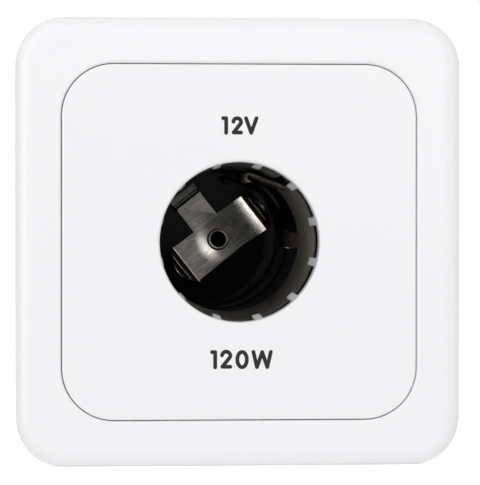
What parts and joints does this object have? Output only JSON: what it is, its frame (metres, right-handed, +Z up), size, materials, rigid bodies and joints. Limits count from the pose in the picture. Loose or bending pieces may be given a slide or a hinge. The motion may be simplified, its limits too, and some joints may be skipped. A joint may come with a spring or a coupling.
{
  "type": "12 V panel power socket",
  "caption": "Square white panel socket for 12 V plugs: cover frame, face plate with a round well, sprung ground ring, centre contact strip and rear blade terminals.",
  "frame": {"origin": "on the barrel's axis, in the plane where the mounting frame lies on the panel", "axes": "+Z up, +X to the right seen from the front, +Y into the panel along the barrel; the front faces -Y"},
  "size_m": [0.0604, 0.0582, 0.0608],
  "materials": {
    "frame_white": "satin moulded",
    "plate_white": "satin moulded",
    "carrier_white": "matte moulded",
    "cup_black": "glossy moulded",
    "nut_black": "satin moulded",
    "gasket_rubber": "matte",
    "spring_nickel": "nickel-plated, rolled",
    "blade_nickel": "nickel-plated",
    "rivet_nickel": "nickel-plated",
    "zinc_steel": "zinc-plated"
  },
  "bodies": {
    "root": {"cover_frame": "frame_white", "face_plate": "plate_white", "mounting_frame": "carrier_white", "socket_cup": "cup_black", "flange_gasket": "gasket_rubber", "cup_washer": "zinc_steel", "cup_nut": "nut_black", "ground_ring": "spring_nickel", "ground_tab": "blade_nickel", "center_contact": "spring_nickel", "center_rivet": "rivet_nickel", "center_washer": "zinc_steel", "center_link": "spring_nickel", "center_tab": "blade_nickel", "tab_screws": "zinc_steel", "tab_washers": "zinc_steel"}
  },
  "joints": []
}
